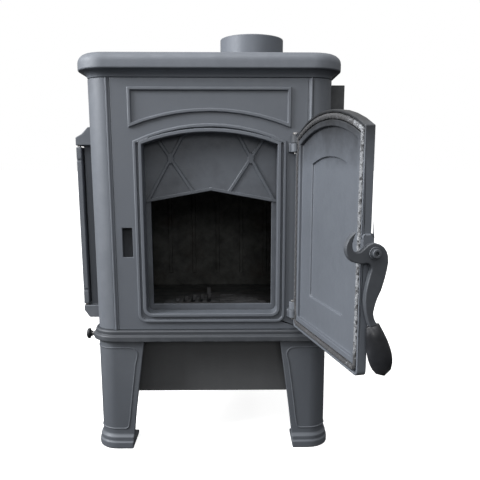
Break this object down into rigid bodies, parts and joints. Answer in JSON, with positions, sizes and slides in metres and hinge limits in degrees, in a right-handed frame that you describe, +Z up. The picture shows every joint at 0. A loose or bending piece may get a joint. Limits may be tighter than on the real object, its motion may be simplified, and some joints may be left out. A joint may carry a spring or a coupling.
{
  "type": "wood burning stove",
  "caption": "Cast-iron box stove on splayed-foot legs, arched front door standing open with a hook latch, side loading door, round riddling grate, ash pan and flue collar.",
  "frame": {"origin": "middle of the footprint (bounding box) on the floor, with the front door open as at rest", "axes": "+Z up, -Y towards the front that the door opens from, +X to the right seen from the front"},
  "size_m": [0.5236, 0.7218, 0.7553],
  "materials": {
    "cast": "matte graphite stove paint on cast iron",
    "sooted": "bare sooted cast iron",
    "liner": "dry sooted lining plate",
    "sheet": "matte dark sheet metal",
    "steel": "satin",
    "grip": "satin dark grey",
    "rope": "woven glass-fibre rope"
  },
  "bodies": {
    "stove": {"ash_box": "sheet", "back_plate": "cast", "baffle_plate": "liner", "base_plate": "cast", "fire_frame": "cast", "flue_bolt_1": "steel", "flue_bolt_2": "steel", "flue_bolt_3": "steel", "flue_collar": "cast", "front_left_leg": "cast", "front_left_post": "cast", "front_left_tie_rod": "steel", "front_lower_hinge_pin": "steel", "front_plate": "cast", "front_right_leg": "cast", "front_right_post": "cast", "front_right_tie_rod": "steel", "front_upper_hinge_pin": "steel", "hearth_plate": "sooted", "heat_shield": "sheet", "left_liner": "liner", "left_side_plate": "cast", "lower_rear_shield_spacer": "steel", "lower_side_shield_spacer": "steel", "rear_left_leg": "cast", "rear_left_post": "cast", "rear_left_tie_rod": "steel", "rear_liner": "liner", "rear_right_leg": "cast", "rear_right_post": "cast", "rear_right_tie_rod": "steel", "right_liner": "liner", "right_side_plate": "cast", "side_door_surround": "cast", "side_lower_hinge_pin": "steel", "side_upper_hinge_pin": "steel", "top_plate": "cast", "upper_rear_shield_spacer": "steel", "upper_side_shield_spacer": "steel"},
    "front_door": {"front_door": "cast", "front_door_rope": "rope", "front_latch_bolt": "steel"},
    "front_latch": {"front_latch_lever": "cast", "front_latch_grip": "grip"},
    "side_door": {"side_door": "cast", "side_door_rope": "rope", "side_latch_bolt": "steel"},
    "side_latch": {"side_latch_lever": "cast", "side_latch_grip": "grip"},
    "riddling_rod": {"riddling_rod": "steel", "riddling_knob": "grip"},
    "grate": {"grate": "sooted"},
    "ash_pan": {"ash_pan": "sheet", "ash_pan_handle": "steel"}
  },
  "joints": [
    {"name": "front_door_hinge", "type": "hinge", "parent": "stove", "child": "front_door", "pos_m": [0.1579, -0.07308, 0.39], "axis": [0, 0, 1], "range_deg": [-102.4, 32.6]},
    {"name": "front_latch_turn", "type": "hinge", "parent": "front_door", "child": "front_latch", "pos_m": [0.23006, -0.3482, 0.397], "axis": [0.2147, -0.9767, 0], "range_deg": [0, 50]},
    {"name": "side_door_hinge", "type": "hinge", "parent": "stove", "child": "side_door", "pos_m": [-0.2144, -0.00607, 0.39], "axis": [0, 0, 1], "range_deg": [0, 110]},
    {"name": "side_latch_turn", "type": "hinge", "parent": "side_door", "child": "side_latch", "pos_m": [-0.2293, 0.27832, 0.397], "axis": [0, 1, 0], "range_deg": [0, 50]},
    {"name": "grate_turn", "type": "hinge", "parent": "stove", "child": "grate", "pos_m": [0.0161, 0.10193, 0.225], "axis": [0, 0, -1], "range_deg": [0, 26]},
    {"name": "riddling_rod_slide", "type": "slide", "parent": "stove", "child": "riddling_rod", "axis": [-1, 0, 0], "range_m": [0, 0.0295]},
    {"name": "ash_pan_slide", "type": "slide", "parent": "stove", "child": "ash_pan", "axis": [-1, 0, 0], "range_m": [0, 0.28]}
  ],
  "couplings": [
    {"joint": "riddling_rod_slide", "follows": "grate_turn", "m_per_rad": 0.065}
  ]
}
